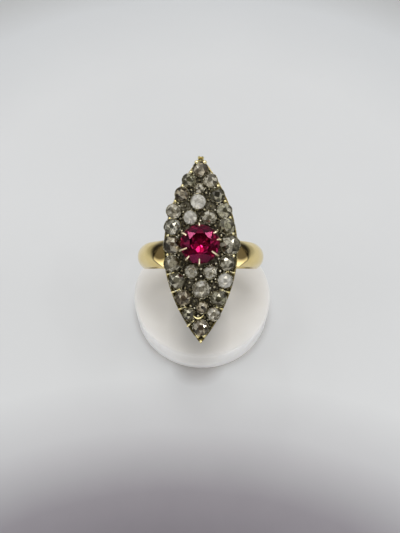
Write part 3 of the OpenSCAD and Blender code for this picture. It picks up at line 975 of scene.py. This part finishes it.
def make_base():
    """Round frosted disc with a softened rim, and the bed that the clip sinks into."""
    c = STAND_CHAMFER
    soft = [(STAND_R - c + c * math.sin(a), STAND_H - c + c * math.cos(a)) for a in quarter_turn(6)]
    foot = [(STAND_R, 0.12), (STAND_R - 0.04, 0.03), (STAND_R - 0.12, 0)]
    shape = Shape()
    profile = [(0.01, STAND_H)] + soft + foot + [(0.01, 0)]
    shape.loft([[Vector((r * math.cos(a), r * math.sin(a), z)) for a in turns(256)] for r, z in profile])
    base = shape.piece("frosted_disc", WORLD, FROSTED, smooth_deg=30)

    def cutter(points_of, loops):
        cut = Shape()
        cut.loft([points_of(v) for v in loops])
        return cut.piece("cutter", WORLD, FROSTED)

    half, reach = CLIP_W / 2 + FIT_GAP, CLIP_R + FIT_GAP
    bed = cutter(lambda x: [in_clip(reach, x, a) for a in turns(160)], (-half, half))
    bottom = CLIP_AXIS.z - CLIP_R
    corners = rectangle(half, TAB_T / 2 + FIT_GAP)
    slot = cutter(lambda z: round_clip(corners, z), (bottom - (TAB_H + FIT_GAP), STAND_H + 1))
    cut_away(base, bed, slot)
    smooth(base.data, 30)
    return base


def make_clip():
    """Bent strip with rounded edges and end, on the tab that stands in the base."""
    shape = Shape()
    start, end = -math.pi - CLIP_TAIL, CLIP_REACH
    count = 150
    wide = CLIP_W / 2
    corner = [(CLIP_ROUND * (1 - math.sin(a)), CLIP_ROUND * (1 - math.cos(a))) for a in quarter_turn(4)]
    loops = []
    for i in range(count + 1):
        turn = start + (end - start) * i / count
        left = (end - turn) * CLIP_R
        pull = 0.0 if left > wide else wide - math.sqrt(max(wide**2 - (wide - left) ** 2, 0.04))
        half = wide - CLIP_TAPER * pull
        loop = [(half - u, CLIP_R - v) for u, v in corner]
        loop += [(half - v, CLIP_R - CLIP_T + u) for u, v in corner]
        loop += [(u - half, CLIP_R - CLIP_T + v) for u, v in corner]
        loop += [(v - half, CLIP_R - u) for u, v in corner]
        loops.append([in_clip(r, x, turn) for x, r in loop])
    shape.loft(loops)
    bottom = CLIP_AXIS.z - CLIP_R
    tab = rectangle(wide, TAB_T / 2)
    shape.loft([round_clip(tab, z) for z in (bottom - TAB_H, bottom + TAB_RISE)])
    return shape.piece("bent_clip", WORLD, CLEAR, smooth_deg=35)


def make_stage():
    size = 1.6
    mesh = bpy.data.meshes.new("floor")
    mesh.from_pydata([(x, y, 0) for x, y in rectangle(size, size)], [], [(0, 1, 2, 3)])
    mesh.materials.append(pale_floor())
    floor = bpy.data.objects.new("floor", mesh)
    bpy.context.scene.collection.objects.link(floor)


def area_light(name, place, aim, size, power, colour):
    light = bpy.data.lights.new(name, "AREA")
    light.shape = "RECTANGLE"
    light.size, light.size_y = size
    light.energy = power
    light.color = colour
    obj = bpy.data.objects.new(name, light)
    obj.location = place
    obj.rotation_euler = (Vector(aim) - Vector(place)).to_track_quat("-Z", "Y").to_euler()
    bpy.context.scene.collection.objects.link(obj)


def make_world():
    """Soft room light, brightest overhead, with the viewer as a dark patch and a bright wall in front."""
    world = bpy.data.worlds.new("studio")
    bpy.context.scene.world = world
    world.use_nodes = True
    tree = NodeTree(world.node_tree)
    way = tree.nodes.new("ShaderNodeTexCoord").outputs["Generated"]

    def along(direction):
        """How nearly a ray runs in a direction, from -1 to 1."""
        dot = tree.nodes.new("ShaderNodeVectorMath")
        dot.operation = "DOT_PRODUCT"
        dot.inputs[1].default_value = Vector(direction).normalized()
        tree.links.new(way, dot.inputs[0])
        return dot.outputs["Value"]

    sky = tree.ramp(along((0, 0.15, 1)), (0.10, (0.16, 0.16, 0.16)), (0.5, (0.44, 0.44, 0.44)),
                    (0.8, (1, 1, 1)))
    viewer = tree.ramp(along((0, -0.62, 1)), (0.88, (1, 1, 1)), (0.95, (0.10, 0.10, 0.11)))
    front_wall = tree.ramp(along((0, -1, 0.12)), (0.80, (0, 0, 0)), (0.95, (1.7, 1.66, 1.6)))
    room = tree.mix(1.0, tree.product(sky, viewer), front_wall, "ADD")
    # What the camera sees beyond the floor is a plain grey that meets it
    backdrop = tree.ramp(along((0, -1, 0)), (0.2, (0.30, 0.303, 0.305)), (0.8, (0.345, 0.347, 0.348)))
    camera_ray = tree.nodes.new("ShaderNodeLightPath").outputs["Is Camera Ray"]
    background = tree.nodes["Background"]
    tree.links.new(tree.mix(camera_ray, room, backdrop), background.inputs["Color"])
    background.inputs["Strength"].default_value = WORLD_STRENGTH


def make_lights():
    """A softbox overhead, a card on either side, small lamps for glints and two for the ruby's flashes."""
    make_world()
    white, warm = (1.0, 1.0, 1.0), (1.0, 0.99, 0.97)
    area_light("overhead_softbox", (0.02, 0.06, 0.42), (0, 0.02, 0), (0.20, 0.16), SOFTBOX_POWER, warm)
    area_light("left_card", (-0.35, -0.05, 0.22), (0, 0, 0.01), (0.12, 0.25), CARD_POWER, white)
    area_light("right_card", (0.35, -0.02, 0.20), (0, 0, 0.01), (0.10, 0.22), CARD_POWER, white)
    for kind, places, power in (("small", LAMPS, LAMP_POWER), ("flash", FLASH_LAMPS, FLASH_POWER)):
        for i, place in enumerate(places):
            size = (LAMP_SIZE, LAMP_SIZE)
            area_light(f"{kind}_lamp_{i}", place, LAMP_AIM, size, power, (1.0, 0.99, 0.96))


def make_camera():
    """Camera at the photograph's place, for a frame of 400 by 533."""
    data = bpy.data.cameras.new("camera")
    data.sensor_fit = "VERTICAL"
    data.sensor_height = 36
    data.lens = CAMERA_LENS
    data.clip_start = 0.005
    data.clip_end = 20
    camera = bpy.data.objects.new("camera", data)
    camera.location = Vector(CAMERA_PLACE) * MM
    forward = Vector((0, math.cos(CAMERA_TILT), -math.sin(CAMERA_TILT)))
    camera.rotation_euler = forward.to_track_quat("-Z", "Y").to_euler()
    bpy.context.scene.collection.objects.link(camera)
    bpy.context.scene.camera = camera


make_camera()
make_stage()
make_lights()
for metal in (make_shank(), make_gallery(), make_tip_grains()):
    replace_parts(metal, "gold_mount")
paint("silver_setting", SILVER)
make_foils()
make_rims()
make_bare_rim()
make_grains()
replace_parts(make_claws(), "ruby_claws")
paint("ruby", RUBY_GLASS)
STONE_RNG = random.Random(28)
for seat in SEATS:
    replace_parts(make_stone(*seat, STONE_RNG), seat[3])
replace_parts(make_base(), "stand_base")
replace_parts(make_clip(), "stand_clip")
bpy.context.scene.view_settings.view_transform = "Standard"
